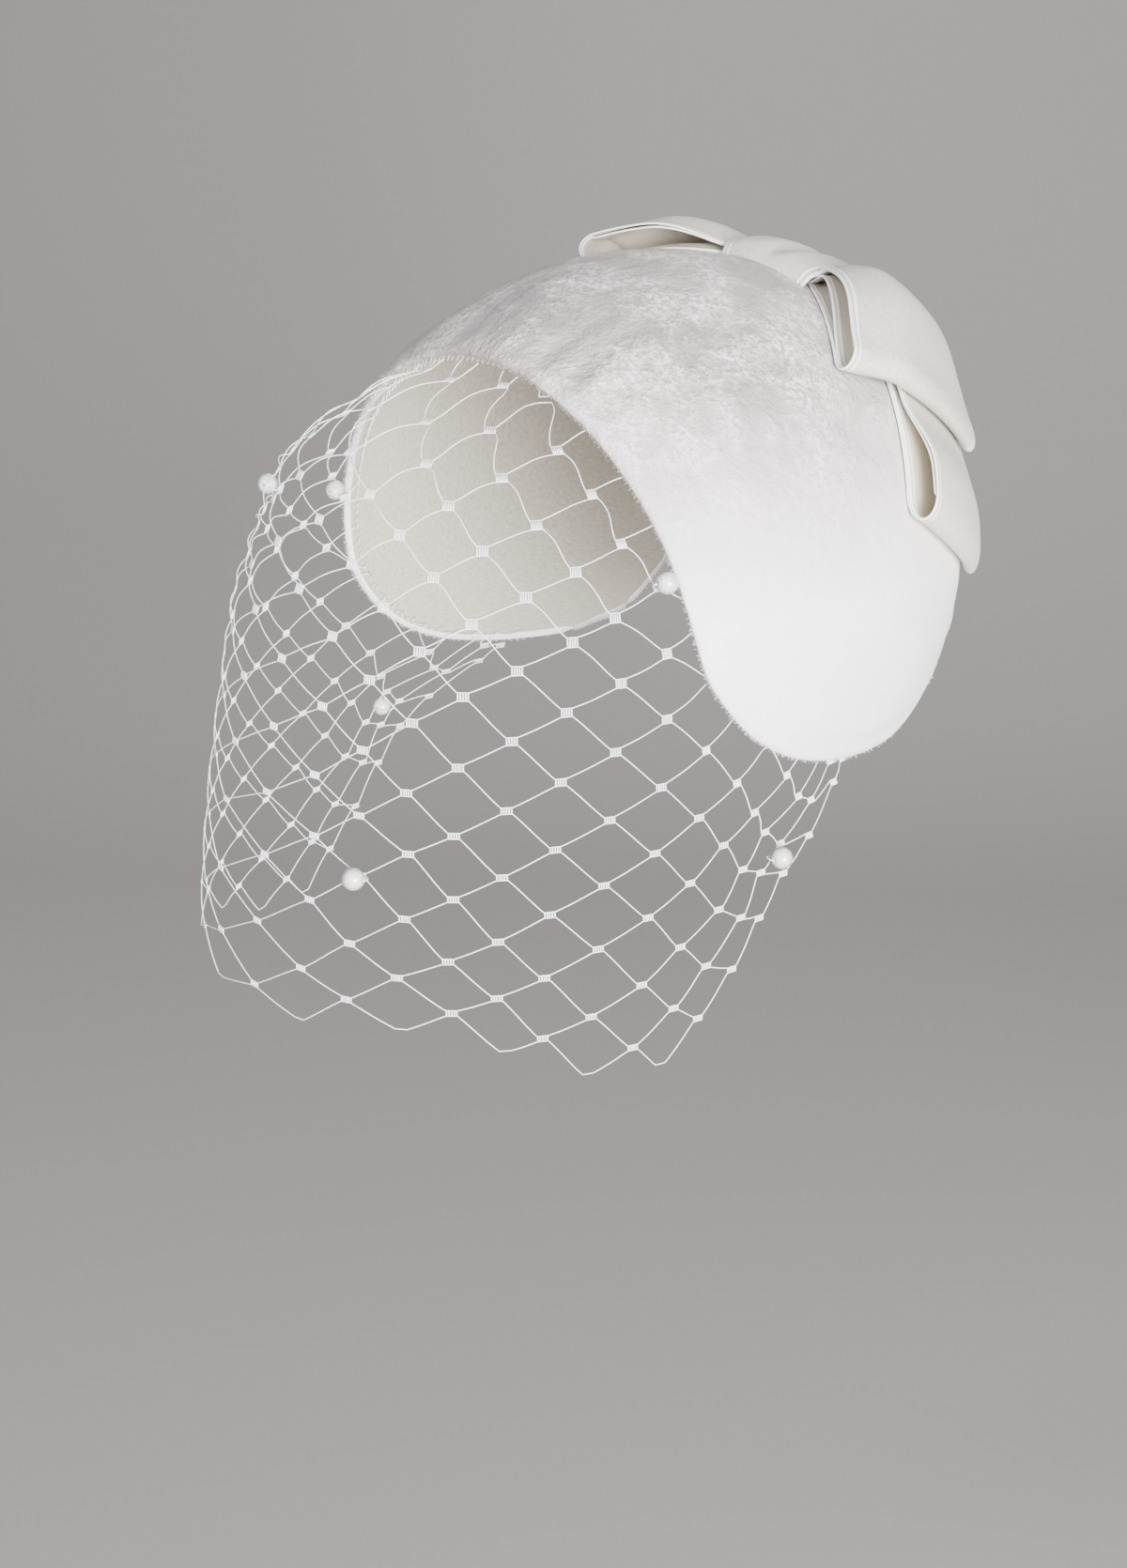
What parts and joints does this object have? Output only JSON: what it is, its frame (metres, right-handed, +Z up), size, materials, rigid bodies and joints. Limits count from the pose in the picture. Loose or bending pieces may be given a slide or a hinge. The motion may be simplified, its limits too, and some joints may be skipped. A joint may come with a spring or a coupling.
{
  "type": "half hat with a ribbon bow and a net veil",
  "caption": "Velvet half hat that saddles the head and covers the ears, with a flat two-tier ribbon bow across its back and a short diamond net veil dotted with pearls over the face.",
  "frame": {"origin": "the point inside the crown that rests on the top of the head, on the middle line", "axes": "+Z up as worn, -Y towards the front of the wearer's face, +X towards the wearer's left"},
  "size_m": [0.169, 0.2228, 0.1944],
  "materials": {
    "velvet": "off-white crushed velvet with a short soft pile",
    "ribbon": "ivory satin ribbon with a woven selvedge",
    "net": "white veiling net of twisted thread",
    "pearl": "white imitation pearl, glossy"
  },
  "bodies": {
    "root": {"crown_shell": "velvet", "bow_upper_loop_left": "ribbon", "bow_upper_loop_right": "ribbon", "bow_lower_loop_left": "ribbon", "bow_lower_loop_right": "ribbon", "bow_knot": "ribbon", "veil_net": "net", "pearl_cheek": "pearl", "pearl_temple": "pearl", "pearl_jaw": "pearl", "pearl_brow": "pearl", "pearl_temple_far": "pearl", "pearl_jaw_far": "pearl"}
  },
  "joints": []
}
